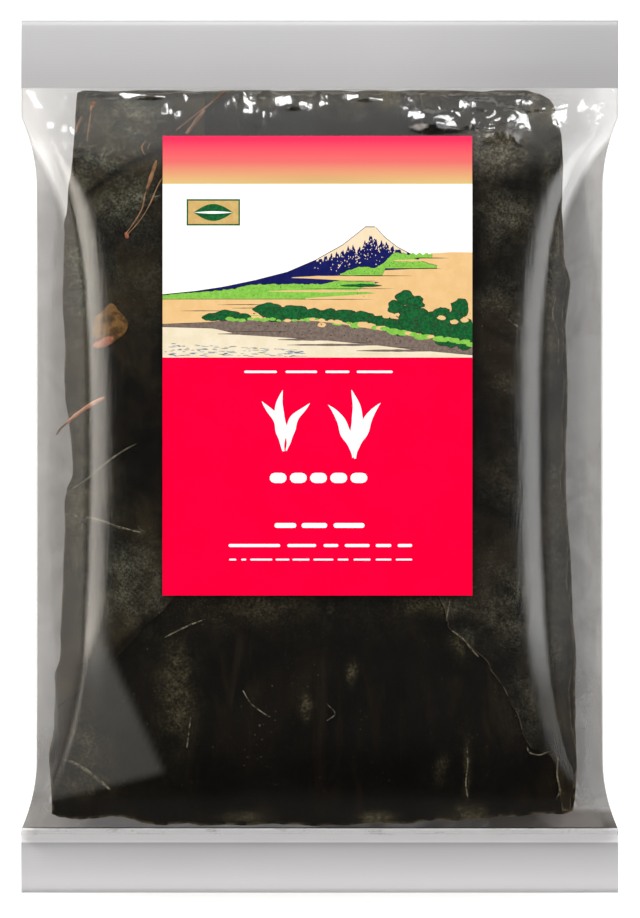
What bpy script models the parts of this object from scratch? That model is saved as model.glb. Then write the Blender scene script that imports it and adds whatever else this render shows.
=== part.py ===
"""A sealed clear film pack of dried kelp sheets, lying on its back with its paper label up.

Metres, +Z up, +Y towards the top seal. The origin is the middle of the face that the pack rests on.
The pack is one closed solid out to its film, and the label is a thin plate that follows its front.
"""

import math

import bmesh
import bpy

# The film pack.
PACK_WIDTH = 0.260          # across the seals
PACK_LENGTH = 0.380         # from seal edge to seal edge
PACK_DEPTH = 0.038          # through the filled middle
WAIST_WIDTH = 0.2468        # across the filled middle, narrower because the filling takes up film
TOP_SEAL = 0.0296
BOTTOM_SEAL = 0.0222
FILM_EDGE = 0.0008          # thickness of the seals and of the folded side edges
SEAM_HEIGHT = 0.0175        # height of the seals and side edges above the resting face
SEAL_DROOP = 0.003          # how far the free edge of each seal hangs down

# The creases that bound the flat front, and how fast they run out into the corners.
LEFT_CREASE = 0.0965        # distance from the middle line at the waist
RIGHT_CREASE = 0.0900
TOP_CREASE_START = 0.0125   # distance of the corner from the seal line
TOP_CREASE_RUN = 0.034
BOTTOM_CREASE_RUN = 0.045
NARROWEST_FACET = 0.006     # width of the side facet beside the corner

# How the film rises over the filling.
FRONT_RUN = 0.020
BACK_RUN = 0.012
BACK_PRESS = 1.12           # over 1, so that the back is pressed flat where it rests
FRONT_CROWN = 0.05          # share of the rise that the front loses at its creases
FACET_BULGE = 0.5           # 0 for a plain slope from crease to side edge
CORNER_RUN = 0.030          # length over which the side edge draws in from a corner
TOP_EAR = 0.0130            # full-width film beside the top seal
BOTTOM_EAR = 0.0055

# The label.
LABEL_WIDTH = 0.1343
LABEL_LENGTH = 0.1994
LABEL_MIDDLE = (-0.0010, 0.0394)
LABEL_THICKNESS = 0.0003
LABEL_GAP = 0.0003

# Cells of the film's grid: side facet, front and side facet, then seal, body and seal.
COLUMNS = (5, 16, 5)
ROWS = (2, 44, 3)
END_CROWDING = 0.3          # 0 for even rows, and closer rows at the ends as it grows
LABEL_CELLS = (16, 28)

TOP_LINE = PACK_LENGTH / 2 - TOP_SEAL
BOTTOM_LINE = BOTTOM_SEAL - PACK_LENGTH / 2


def clamp(value, low=0.0, high=1.0):
    return min(max(value, low), high)


def fill_share(distance, run):
    """0 at a seal line, and close to 1 a few runs away from it."""
    return 1 - math.exp(-max(distance, 0) / run)


def half_width(y):
    """Half the outline's width: full at the seals, and drawn in along the filled body."""
    from_top = clamp((TOP_LINE - TOP_EAR - y) / CORNER_RUN)
    from_bottom = clamp((y - BOTTOM_LINE - BOTTOM_EAR) / CORNER_RUN)
    drawn_in = (1 - (1 - from_top) ** 2) * (1 - (1 - from_bottom) ** 2)
    return (PACK_WIDTH - (PACK_WIDTH - WAIST_WIDTH) * drawn_in) / 2


def crease(y, waist):
    """Distance of a front crease from the middle line."""
    share = fill_share(TOP_LINE - TOP_CREASE_START - y, TOP_CREASE_RUN)
    share *= fill_share(y - BOTTOM_LINE, BOTTOM_CREASE_RUN)
    place = PACK_WIDTH / 2 - (PACK_WIDTH / 2 - waist) * share
    return min(place, half_width(y) - NARROWEST_FACET)


def seam_height(y):
    """Height of the seals and of the side edges."""
    past_top = clamp((y - TOP_LINE) / TOP_SEAL)
    past_bottom = clamp((BOTTOM_LINE - y) / BOTTOM_SEAL)
    return SEAM_HEIGHT - SEAL_DROOP * (past_top ** 2 + past_bottom ** 2)


def bulge(x, y):
    """1 on the flat front, 0 on the outline."""
    place = crease(y, LEFT_CREASE if x < 0 else RIGHT_CREASE)
    if abs(x) <= place:
        return 1 - FRONT_CROWN * (x / place) ** 2
    down = clamp((abs(x) - place) / (half_width(y) - place))
    return (1 - FRONT_CROWN) * (1 - down) * (1 + FACET_BULGE * down)


def rise(y, run):
    return fill_share(TOP_LINE - y, run) * fill_share(y - BOTTOM_LINE, run)


def front_height(x, y):
    most = PACK_DEPTH - SEAM_HEIGHT
    return seam_height(y) + max(most * rise(y, FRONT_RUN) * bulge(x, y), FILM_EDGE / 2)


def back_height(x, y):
    drop = SEAM_HEIGHT * BACK_PRESS * rise(y, BACK_RUN) * bulge(x, y)
    return max(seam_height(y) - max(drop, FILM_EDGE / 2), 0)


def zone_places(counts, limits):
    """Places of grid lines over neighbouring zones, with so many even cells in each."""
    places = [limits[0]]
    for count, low, high in zip(counts, limits, limits[1:]):
        places += [low + (high - low) * step / count for step in range(1, count + 1)]
    return places


def row_places():
    """Where the film's rows lie, with the body's rows crowded towards the seals."""
    places = zone_places(ROWS, (-PACK_LENGTH / 2, BOTTOM_LINE, TOP_LINE, PACK_LENGTH / 2))
    middle = (TOP_LINE + BOTTOM_LINE) / 2
    half = (TOP_LINE - BOTTOM_LINE) / 2
    for row in range(ROWS[0] + 1, ROWS[0] + ROWS[1]):
        share = (places[row] - middle) / half
        places[row] = middle + half * share * (1 + END_CROWDING - END_CROWDING * share ** 2)
    return places


def film_mesh():
    """A flat grid made into a slab, whose two faces are then bent over the filling."""
    columns, rows = sum(COLUMNS), sum(ROWS)
    mesh = bmesh.new()
    bmesh.ops.create_grid(mesh, x_segments=columns, y_segments=rows, size=0.5)
    bmesh.ops.solidify(mesh, geom=mesh.faces[:], thickness=FILM_EDGE)
    levels = [vertex.co.z for vertex in mesh.verts]
    between = (min(levels) + max(levels)) / 2
    ys = row_places()
    for vertex in mesh.verts:
        y = ys[round((vertex.co.y + 0.5) * rows)]
        edge = half_width(y)
        lines = (-edge, -crease(y, LEFT_CREASE), crease(y, RIGHT_CREASE), edge)
        x = zone_places(COLUMNS, lines)[round((vertex.co.x + 0.5) * columns)]
        height = front_height(x, y) if vertex.co.z > between else back_height(x, y)
        vertex.co = (x, y, height)
    bmesh.ops.recalc_face_normals(mesh, faces=mesh.faces[:])
    return mesh


def label_mesh():
    """The label's lower face, a little above the film. Solidify gives it its thickness."""
    mesh = bmesh.new()
    bmesh.ops.create_grid(mesh, x_segments=LABEL_CELLS[0], y_segments=LABEL_CELLS[1], size=0.5)
    for vertex in mesh.verts:
        x = LABEL_MIDDLE[0] + vertex.co.x * LABEL_WIDTH
        y = LABEL_MIDDLE[1] + vertex.co.y * LABEL_LENGTH
        vertex.co = (x, y, front_height(x, y) + LABEL_GAP)
    return mesh


def material(name, colour, roughness):
    made = bpy.data.materials.new(name)
    made.use_nodes = True
    shader = made.node_tree.nodes["Principled BSDF"]
    shader.inputs["Base Color"].default_value = (*colour, 1)
    shader.inputs["Roughness"].default_value = roughness
    shader.inputs["Metallic"].default_value = 0
    made.diffuse_color = (*colour, 1)
    return made


def add_object(name, mesh, look, collection):
    data = bpy.data.meshes.new(name)
    mesh.to_mesh(data)
    mesh.free()
    data.shade_smooth()
    data.set_sharp_from_angle(angle=math.radians(40))
    data.materials.append(look)
    made = bpy.data.objects.new(name, data)
    collection.objects.link(made)
    return made


def build_bag(collection):
    return add_object("bag", film_mesh(), material("film_over_kelp", (0.03, 0.027, 0.02), 0.25), collection)


def build_label(collection):
    label = add_object("label", label_mesh(), material("label_paper", (0.9, 0.02, 0.06), 0.55), collection)
    thickness = label.modifiers.new("paper", "SOLIDIFY")
    thickness.thickness = LABEL_THICKNESS
    thickness.offset = 1
    return label


def main():
    for thing in list(bpy.data.objects):
        bpy.data.objects.remove(thing, do_unlink=True)
    collection = bpy.data.collections.new("kelp_pack")
    bpy.context.scene.collection.children.link(collection)
    build_bag(collection)
    build_label(collection)


main()
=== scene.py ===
"""The looks of a sealed film pack of dried kelp sheets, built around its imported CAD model.

The clear film, the stack of kelp sheets in it and the printed label are made here. Everything is in
metres, in the CAD model's frame: +Y towards the top seal, +Z out of the pack's front.
"""

import math
import random

import bmesh
import bpy
import numpy as np
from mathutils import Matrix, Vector, geometry, noise


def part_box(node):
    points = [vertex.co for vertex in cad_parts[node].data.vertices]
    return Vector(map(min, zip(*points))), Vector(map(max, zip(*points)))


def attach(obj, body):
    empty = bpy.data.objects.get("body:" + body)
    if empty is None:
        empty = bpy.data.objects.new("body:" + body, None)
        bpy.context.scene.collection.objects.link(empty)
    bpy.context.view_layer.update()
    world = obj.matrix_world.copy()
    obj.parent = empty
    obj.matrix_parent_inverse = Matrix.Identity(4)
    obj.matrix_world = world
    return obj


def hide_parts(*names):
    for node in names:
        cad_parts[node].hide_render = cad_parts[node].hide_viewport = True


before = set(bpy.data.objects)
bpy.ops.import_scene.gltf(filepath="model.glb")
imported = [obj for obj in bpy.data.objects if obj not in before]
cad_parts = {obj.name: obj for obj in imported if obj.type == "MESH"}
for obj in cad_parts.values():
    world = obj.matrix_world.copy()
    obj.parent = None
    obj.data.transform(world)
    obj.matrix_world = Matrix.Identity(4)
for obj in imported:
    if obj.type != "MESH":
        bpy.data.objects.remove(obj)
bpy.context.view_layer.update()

MM = 0.001
BAG_LOW, BAG_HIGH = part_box("bag")
LABEL_LOW, LABEL_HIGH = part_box("label")

# The film's shape, as the CAD model has it.
PACK_WIDTH = BAG_HIGH.x - BAG_LOW.x
PACK_DEPTH = BAG_HIGH.z - BAG_LOW.z
WAIST_WIDTH = 246.8 * MM
TOP_LINE = BAG_HIGH.y - 29.6 * MM
BOTTOM_LINE = BAG_LOW.y + 22.2 * MM
SEAM_HEIGHT = 17.5 * MM
SEAL_DROOP = 3 * MM
FILM_EDGE = 0.8 * MM
LEFT_CREASE, RIGHT_CREASE = 96.5 * MM, 90 * MM
TOP_CREASE_START, TOP_CREASE_RUN = 12.5 * MM, 34 * MM
BOTTOM_CREASE_RUN = 45 * MM
NARROWEST_FACET = 6 * MM
FRONT_RUN, BACK_RUN = 20 * MM, 12 * MM
BACK_PRESS = 1.12
FRONT_CROWN = 0.05
FACET_BULGE = 0.5
CORNER_RUN = 30 * MM
TOP_EAR, BOTTOM_EAR = 13 * MM, 5.5 * MM

# The film rounds over its creases, a little inside the CAD solid. The left one tightens lower down.
CREASE_RADIUS = 14 * MM
TIGHT_RADIUS = 1.5 * MM
LEFT_TIGHTENS = (-62 * MM, -96 * MM)
FILM_CLEARANCE = 0.9 * MM


# ---------------------------------------------------------------- shape of the pack

def clamp(value, low=0.0, high=1.0):
    return np.minimum(np.maximum(value, low), high)


def smooth(value):
    """0 up to 0, 1 from 1 on, and an even curve between."""
    value = clamp(value)
    return value * value * (3 - 2 * value)


def fill_share(distance, run):
    return 1 - np.exp(-np.maximum(distance, 0) / run)


def half_width(y):
    from_top = clamp((TOP_LINE - TOP_EAR - y) / CORNER_RUN)
    from_bottom = clamp((y - BOTTOM_LINE - BOTTOM_EAR) / CORNER_RUN)
    drawn_in = (1 - (1 - from_top) ** 2) * (1 - (1 - from_bottom) ** 2)
    return (PACK_WIDTH - (PACK_WIDTH - WAIST_WIDTH) * drawn_in) / 2


def crease(x, y):
    """Distance from the middle line of the front crease on x's side."""
    waist = np.where(x < 0, LEFT_CREASE, RIGHT_CREASE)
    share = fill_share(TOP_LINE - TOP_CREASE_START - y, TOP_CREASE_RUN)
    share = share * fill_share(y - BOTTOM_LINE, BOTTOM_CREASE_RUN)
    place = PACK_WIDTH / 2 - (PACK_WIDTH / 2 - waist) * share
    return np.minimum(place, half_width(y) - NARROWEST_FACET)


def seam_height(y):
    past_top = clamp((y - TOP_LINE) / (BAG_HIGH.y - TOP_LINE))
    past_bottom = clamp((BOTTOM_LINE - y) / (BOTTOM_LINE - BAG_LOW.y))
    return SEAM_HEIGHT - SEAL_DROOP * (past_top ** 2 + past_bottom ** 2)


def bulge(x, y):
    place = crease(x, y)
    edge = half_width(y)
    front = 1 - FRONT_CROWN * (x / place) ** 2
    down = clamp((np.abs(x) - place) / (edge - place))
    facet = (1 - FRONT_CROWN) * (1 - down) * (1 + FACET_BULGE * down)
    return np.where(np.abs(x) <= place, front, facet)


def rise(y, run):
    return fill_share(TOP_LINE - y, run) * fill_share(y - BOTTOM_LINE, run)


def front_height(x, y):
    """The CAD model's front surface."""
    most = PACK_DEPTH - SEAM_HEIGHT
    return seam_height(y) + np.maximum(most * rise(y, FRONT_RUN) * bulge(x, y), FILM_EDGE / 2)


def back_height(x, y):
    drop = SEAM_HEIGHT * BACK_PRESS * rise(y, BACK_RUN) * bulge(x, y)
    return np.maximum(seam_height(y) - np.maximum(drop, FILM_EDGE / 2), 0)


def taut_front(x, y):
    """The front film before its small wrinkles: the CAD surface with its creases rounded over."""
    place = crease(x, y)
    edge = half_width(y)
    most = (PACK_DEPTH - SEAM_HEIGHT) * rise(y, FRONT_RUN)
    slope_inside = most * 2 * FRONT_CROWN / place
    slope_outside = most * (1 - FRONT_CROWN) * (1 - FACET_BULGE) / (edge - place)
    tightening = smooth((LEFT_TIGHTENS[0] - y) / (LEFT_TIGHTENS[0] - LEFT_TIGHTENS[1]))
    radius = CREASE_RADIUS + (TIGHT_RADIUS - CREASE_RADIUS) * np.where(x < 0, tightening, 0)
    radius = np.minimum(radius, 0.8 * (edge - place))
    past = np.abs(x) - place
    turn = clamp((past + radius) / (2 * radius))
    rounding = 2 * radius * (turn ** 3 - turn ** 4 / 2) - clamp(past, 0, radius)
    return front_height(x, y) - (slope_outside - slope_inside) * rounding


# ---------------------------------------------------------------- small helpers

def noise_field(x, y, scale, seed, octaves=3):
    """Smooth noise of about -1 to 1 at each point, with features of the given size."""
    points = zip((x / scale).ravel().tolist(), (y / scale).ravel().tolist())
    values = [noise.fractal(Vector((px, py, seed)), 0.9, 2.0, octaves) for px, py in points]
    return np.array(values).reshape(x.shape)


def wander(along, scale, seed, octaves=4):
    """Noise along a line, the same at every point across it."""
    return noise_field(along, along * 0, scale, seed, octaves)


def grid_faces(columns, rows):
    """Quads over a grid of (columns + 1) by (rows + 1) points that are stored row by row."""
    corner = (np.arange(rows)[:, None] * (columns + 1) + np.arange(columns)).ravel()
    return np.stack([corner, corner + 1, corner + columns + 2, corner + columns + 1], axis=1)


def add_mesh(name, points, faces, looks, kinds=None):
    """A smooth-shaded piece. Kinds, if given, say which of the looks each face has."""
    data = bpy.data.meshes.new(name)
    data.from_pydata(np.asarray(points, float).tolist(), [], [list(face) for face in faces])
    for look in looks:
        data.materials.append(look)
    if kinds is not None:
        data.polygons.foreach_set("material_index", np.asarray(kinds, np.int32))
    data.shade_smooth()
    data.update()
    made = bpy.data.objects.new(name, data)
    bpy.context.scene.collection.objects.link(made)
    return made


def add_attribute(piece, name, values):
    layer = piece.data.attributes.new(name, "FLOAT", "POINT")
    layer.data.foreach_set("value", np.asarray(values, np.float32).ravel())


def apply_modifiers(piece):
    bpy.context.view_layer.update()
    evaluated = piece.evaluated_get(bpy.context.evaluated_depsgraph_get())
    baked = bpy.data.meshes.new_from_object(evaluated)
    piece.modifiers.clear()
    old = piece.data
    piece.data = baked
    bpy.data.meshes.remove(old)


def catmull_rom(a, b, c, d, t):
    """The point at share t between b and c of the smooth curve through a, b, c and d."""
    return 0.5 * (2 * b + (c - a) * t + (2 * a - 5 * b + 4 * c - d) * t ** 2 + (3 * b - a - 3 * c + d) * t ** 3)


def place(piece, slot, node):
    """The piece moves with the pack and stands for the CAD node. The slot is not used."""
    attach(piece, "root")
    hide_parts(node)
    return piece


# ---------------------------------------------------------------- materials

FILM_MIRROR = 0.08    # two surfaces of a film mirror about this much, face on
PAPER_WHITE, INK_DEPTH = 0.95, 0.82    # white paper and inks are this much darker, as the studio is bright


def srgb(red, green, blue):
    """Linear colour of a screen colour given from 0 to 255."""
    shares = [value / 255 for value in (red, green, blue)]
    linear = [s / 12.92 if s <= 0.04045 else ((s + 0.055) / 1.055) ** 2.4 for s in shares]
    return (*linear, 1.0)


class Nodes:
    """The node tree of a material or the world, with short calls for the nodes that it takes."""

    def __init__(self, owner, vector="Object"):
        owner.use_nodes = True
        self.owner = owner
        self.tree = owner.node_tree
        self.tree.nodes.clear()
        self.coords = self.add("TexCoord").outputs[vector]

    def add(self, kind, settings=None, **inputs):
        node = self.tree.nodes.new("ShaderNode" + kind)
        for key, value in (settings or {}).items():
            setattr(node, key, value)
        for key, value in inputs.items():
            socket = node.inputs[int(key[1:]) if key[0] == "_" else key.replace("_", " ")]
            if isinstance(value, bpy.types.NodeSocket):
                self.tree.links.new(value, socket)
            else:
                socket.default_value = value
        return node

    def math(self, operation, first, second=0.0, third=0.0, limit=False):
        settings = {"operation": operation, "use_clamp": limit}
        return self.add("Math", settings, _0=first, _1=second, _2=third).outputs[0]

    def times(self, first, second, limit=False):
        return self.math("MULTIPLY", first, second, limit=limit)

    def mix(self, share, first, second, blend="MIX"):
        node = self.add("MixRGB", {"blend_type": blend}, Fac=share, Color1=first, Color2=second)
        return node.outputs[0]

    def stretched(self, stretch=(1, 1, 1), turn=0.0, shift=(0, 0, 0)):
        rotation = (0, 0, turn)
        return self.add("Mapping", Vector=self.coords, Location=shift, Rotation=rotation,
                        Scale=stretch).outputs[0]

    def noise(self, scale, detail=4.0, roughness=0.55, distortion=0.0, vector=None):
        node = self.add("TexNoise", Vector=vector or self.coords, Scale=scale, Detail=detail,
                        Roughness=roughness, Distortion=distortion)
        return node.outputs["Fac"]

    def ramp(self, value, *stops):
        """Colour or grey between stops, each a place and a grey or a colour."""
        node = self.add("ValToRGB", Fac=value)
        elements = node.color_ramp.elements
        while len(elements) < len(stops):
            elements.new(0.5)
        for element, (position, colour) in zip(elements, stops):
            element.position = position
            element.color = colour if isinstance(colour, tuple) else (colour, colour, colour, 1)
        return node.outputs["Color"]

    def attribute(self, name):
        return self.add("Attribute", {"attribute_name": name}).outputs["Fac"]

    def bump(self, height, distance, strength=1.0, under=None):
        inputs = {"Height": height, "Distance": distance, "Strength": strength}
        if under is not None:
            inputs["Normal"] = under
        return self.add("Bump", **inputs).outputs["Normal"]

    def principled(self, **inputs):
        return self.add("BsdfPrincipled", **inputs)

    def step(self, value, low, high, at_low=0.0, at_high=1.0):
        """A smooth step between two values."""
        node = self.add("MapRange", {"interpolation_type": "SMOOTHSTEP"}, Value=value)
        limits = {"From Min": low, "From Max": high, "To Min": at_low, "To Max": at_high}
        for socket, number in limits.items():
            node.inputs[socket].default_value = number
        return node.outputs[0]

    def finish(self, shader, output="OutputMaterial"):
        self.add(output, Surface=shader.outputs[0])
        return self.owner


def material_nodes(name):
    return Nodes(bpy.data.materials.new(name))


def kelp_material(name, dark, middle, bloom, shift=(0, 0, 0)):
    """Dried seaweed: mottled brown black and leathery. Its attributes: bloom is how dusty it is, shade how
    dark, partly from the kelp's own darker patches and partly painted shadow under sheet edges and in
    creases, and rim marks a sheet's worn edge."""
    n = material_nodes(name)
    moved = n.stretched(shift=shift)
    along = n.stretched(stretch=(1, 0.22, 1), turn=0.12, shift=shift)
    patches = n.noise(30, 6, 0.65, 0.5, moved)
    base = n.mix(n.step(patches, 0.38, 0.66), dark, middle)
    streaks = n.noise(85, 5, 0.65, 0.8, along)
    base = n.mix(n.times(n.step(streaks, 0.5, 0.72), 0.24), base, srgb(50, 40, 27))
    mottle = n.noise(105, 8, 0.74, 0.3, moved)
    fine = n.noise(820, 5, 0.85, 0.2, moved)
    dusty = n.attribute("bloom")
    spread = n.math("ADD", n.times(n.step(mottle, 0.36, 0.68), 0.9), 0.12)
    grain = n.math("ADD", n.times(n.step(fine, 0.4, 0.64), 1.5), 0.2)
    cover = n.times(n.times(spread, grain), n.math("ADD", dusty, 0.006))
    base = n.mix(n.times(cover, 1.0, limit=True), base, bloom)
    flecks = n.times(n.step(n.noise(900, 2, 0.5, 0.0, moved), 0.69, 0.76), n.step(patches, 0.45, 0.6))
    base = n.mix(n.times(flecks, 0.3), base, srgb(150, 142, 112))
    worn = n.step(n.noise(260, 4, 0.7, 0.0, moved), 0.4, 0.62)
    base = n.mix(n.times(n.times(n.attribute("rim"), worn), 0.6), base, srgb(112, 100, 76))
    # Painted shadow: the shade attribute darkens the colour, for darker kelp and for shade under edges and in
    # creases.
    lit = n.math("SUBTRACT", 1.0, n.times(n.attribute("shade"), 0.9))
    base = n.mix(1.0, base, n.add("CombineXYZ", X=lit, Y=lit, Z=lit).outputs[0], "MULTIPLY")
    normal = n.bump(n.noise(150, 6, 0.6, 0.6, along), 1.4 * MM, 0.6)
    normal = n.bump(n.noise(650, 3, 0.6, 0.0, moved), 0.3 * MM, 0.6, normal)
    shader = n.principled(Base_Color=base, Roughness=0.6, Normal=normal, Specular_IOR_Level=0.02)
    return n.finish(shader)


def rib_material(name, colour, pale, gaps=None):
    """A tan stem or torn edge of kelp, paler where it is worn, and broken by gaps where it has flaked off."""
    n = material_nodes(name)
    base = n.mix(n.step(n.noise(240, 5, 0.7), 0.38, 0.62), colour, pale)
    if gaps:
        base = n.mix(n.step(n.noise(520, 4, 0.7), 0.44, 0.6), base, gaps)
    normal = n.bump(n.noise(900, 3, 0.6), 0.2 * MM, 0.6)
    return n.finish(n.principled(Base_Color=base, Roughness=0.6, Normal=normal, Specular_IOR_Level=0.1))


def film_material():
    """Clear glossy film. Its attributes: veil is how much of it is clouded, at folds and on the sides; milk
    is how pale that is, from a dark grey of painted shade where low to a pale haze where high, which in
    places paints reflections; crumple is how much it is crinkled; shine is how much it mirrors."""
    n = material_nodes("clear_film")
    smear = n.step(n.noise(38, 5, 0.6, 0.8), 0.3, 0.7, 0.94, 1.05)
    cover = n.times(n.attribute("veil"), smear, limit=True)
    crinkle = n.math("ADD", n.noise(95, 1, 0.4, 1.2), n.times(n.noise(260, 1, 0.5, 0.6), 0.2))
    crinkle = n.times(crinkle, n.attribute("crumple"))
    sag = n.noise(30, 2, 0.5, 0.3)
    wobble = n.bump(sag, 0.25 * MM, 1.0)
    streaks = n.noise(210, 3, 0.6, 0.3, n.stretched(stretch=(1, 0.1, 1)))
    wobble = n.bump(streaks, 0.07 * MM, 1.0, wobble)
    wobble = n.bump(crinkle, 2.2 * MM, 1.0, wobble)
    # Painted shade: low milk gives a dark grey that darkens what is seen through the film; high milk a pale
    # haze.
    milk_and_painted_shade_colour = n.mix(n.attribute("milk"), srgb(98, 90, 83), srgb(222, 220, 214))
    milk_and_painted_shade = n.principled(Base_Color=milk_and_painted_shade_colour, Roughness=0.5, Normal=wobble, Specular_IOR_Level=0.0)
    clear = n.add("BsdfTransparent", Color=(0.99, 0.99, 0.99, 1))
    body = n.add("MixShader", Fac=cover, _1=clear.outputs[0], _2=milk_and_painted_shade.outputs[0])
    gloss = n.add("BsdfGlossy", Color=(1, 1, 1, 1), Roughness=0.14, Normal=wobble)
    grazing = n.math("POWER", n.add("LayerWeight", Blend=0.5, Normal=wobble).outputs["Facing"], 5.0)
    mirror = n.times(n.math("MULTIPLY_ADD", grazing, 0.6, FILM_MIRROR), n.attribute("shine"))
    return n.finish(n.add("MixShader", Fac=mirror, _1=body.outputs[0], _2=gloss.outputs[0]))


def seal_material():
    """The welded ends of the bag: cloudy grey film. Down the bottom seal the grey paints the shading of its
    curl, darkest beside the weld, with a pale painted highlight on the fold ridge next to the weld; the top
    seal is darker towards the right.
    """
    n = material_nodes("seal_film")
    split = n.add("SeparateXYZ", Vector=n.coords)
    across = n.step(split.outputs["X"], 20 * MM, 130 * MM)
    top = n.mix(across, srgb(170, 170, 172), srgb(158, 158, 160))
    # Painted shade and highlight: greys down the bottom seal, darker towards the weld, then a bright fold
    # ridge.
    places = ((-190, 208), (-184, 200), (-180, 190), (-175.5, 180), (-171.3, 172), (-168.2, 158),
              (-167.8, 210), (-162, 204))
    height = n.math("DIVIDE", n.math("SUBTRACT", split.outputs["Y"], BAG_LOW.y), 40 * MM, limit=True)
    stops = [((y * MM - BAG_LOW.y) / (40 * MM), srgb(grey, grey, grey + 3)) for y, grey in places]
    bottom = n.ramp(height, *stops)
    base = n.mix(n.step(split.outputs["Y"], -1 * MM, 1 * MM), bottom, top)
    mottle = n.ramp(n.noise(30, 3, 0.5), (0.3, 0.985), (0.7, 1.0))
    base = n.mix(1.0, base, mottle, "MULTIPLY")
    ribs = n.add("TexWave", {"bands_direction": "Y"}, Vector=n.coords, Scale=260.0).outputs["Fac"]
    normal = n.bump(ribs, 0.05 * MM, 0.2)
    normal = n.bump(n.noise(60, 3, 0.5), 0.3 * MM, 0.2, normal)
    return n.finish(n.principled(Base_Color=base, Roughness=0.45, Normal=normal, Specular_IOR_Level=0.1))


def print_material(name, colour, second=None, grain=120.0):
    """Printed paper: a field of ink, uneven by a touch, on a fine paper tooth."""
    n = material_nodes(name)
    uneven = n.noise(grain, 4, 0.6)
    base = n.mix(n.ramp(uneven, (0.42, 0.0), (0.58, 1.0)), colour, second or colour)
    depth = PAPER_WHITE if min(colour) == 1 else INK_DEPTH
    base = n.mix(1.0, base, (depth, depth, depth, 1), "MULTIPLY")
    tooth = n.ramp(n.noise(1500, 2, 0.5), (0.3, 0.97), (0.7, 1.0))
    base = n.mix(1.0, base, tooth, "MULTIPLY")
    normal = n.bump(n.noise(1100, 3, 0.6), 0.04 * MM, 0.4)
    return n.finish(n.principled(Base_Color=base, Roughness=0.6, Normal=normal, Specular_IOR_Level=0.0))


def band_material(low, high):
    """The gradient band at the label's top, from sand to coral red."""
    n = material_nodes("print_band")
    place_y = n.add("SeparateXYZ", Vector=n.coords).outputs["Y"]
    share = n.math("DIVIDE", n.math("SUBTRACT", place_y, low), high - low, limit=True)
    base = n.ramp(share, (0.0, srgb(221, 192, 127)), (0.45, srgb(227, 111, 107)), (0.92, srgb(240, 50, 90)))
    base = n.mix(1.0, base, (INK_DEPTH, INK_DEPTH, INK_DEPTH, 1), "MULTIPLY")
    normal = n.bump(n.noise(1100, 3, 0.6), 0.04 * MM, 0.4)
    return n.finish(n.principled(Base_Color=base, Roughness=0.6, Normal=normal, Specular_IOR_Level=0.0))


def floor_material():
    """A white floor that glows a little, so that it stays white where the pack shades it."""
    n = material_nodes("floor_white")
    tone = n.ramp(n.noise(6, 3, 0.5), (0.3, 0.97), (0.7, 1.0))
    return n.finish(n.principled(Base_Color=tone, Roughness=0.9, Specular_IOR_Level=0.0,
                                 Emission_Color=(1, 1, 1, 1), Emission_Strength=0.4))


# ---------------------------------------------------------------- the film

FILM_COLUMNS = (30, 90, 30)
FILM_ROWS = (10, 280, 12)
STRIP_ROWS = 8           # the rows of the body next to the bottom weld, which are frosted too
STRIP_TOP = -161.7 * MM
FILM_CROWDING = 0.45

# Where the film is folded double at the lower left corner: a pale triangle, partly that double film and
# partly painted reflection off the fold, in millimetres.
FOLD_TRIANGLE = ((-97, -74), (-68, -137), (-120, -150))

# How deep the film's relief may sag before the kelp holds it up, how soft that limit is, and what puts a
# film without relief back where it was, all in millimetres.
DEEPEST_SAG, SAG_SOFTNESS, SAG_SHIFT = 0.35, 0.25, 0.40


def zone_places(counts, limits):
    """Places of grid lines over neighbouring zones. Counts are numbers, limits are arrays or numbers."""
    places = [limits[0]]
    for count, low, high in zip(counts, limits, limits[1:]):
        places += [low + (high - low) * step / count for step in range(1, count + 1)]
    return places


def film_rows():
    places = zone_places(FILM_ROWS, (BAG_LOW.y, BOTTOM_LINE, TOP_LINE, BAG_HIGH.y))
    middle, half = (TOP_LINE + BOTTOM_LINE) / 2, (TOP_LINE - BOTTOM_LINE) / 2
    first, last = FILM_ROWS[0], FILM_ROWS[0] + FILM_ROWS[1]
    for row in range(first + 1, last):
        share = (places[row] - middle) / half
        places[row] = middle + half * share * (1 + FILM_CROWDING - FILM_CROWDING * share ** 2)
    places[first:first + STRIP_ROWS + 1] = np.linspace(BOTTOM_LINE, STRIP_TOP, STRIP_ROWS + 1).tolist()
    low = first + STRIP_ROWS
    while places[low + 1] < STRIP_TOP + 0.3 * MM:
        places[low + 1] = (places[low] + places[low + 2]) / 2
        low += 1
    return np.array(places)


def film_grid():
    ys = film_rows()
    edge = half_width(ys)
    lines = (-edge, -crease(-edge, ys), crease(edge, ys), edge)
    x = np.stack(zone_places(FILM_COLUMNS, lines), axis=1)
    return x, np.repeat(ys[:, None], x.shape[1], axis=1)


def label_mask(x, y, soft=6 * MM):
    """1 under the label and 0 away from it."""
    outside_x = np.maximum(np.maximum(LABEL_LOW.x - x, x - LABEL_HIGH.x), 0)
    outside_y = np.maximum(np.maximum(LABEL_LOW.y - y, y - LABEL_HIGH.y), 0)
    return 1 - smooth(np.maximum(outside_x, outside_y) / soft)


def patch_share(x, y, patches):
    """The strongest of some soft oval patches: centre x and y, radii, all in millimetres, and strength."""
    total = np.zeros_like(x)
    for cx, cy, rx, ry, strength in patches:
        away = ((x / MM - cx) / rx) ** 2 + ((y / MM - cy) / ry) ** 2
        total = np.maximum(total, strength * np.exp(-away))
    return total


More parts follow.
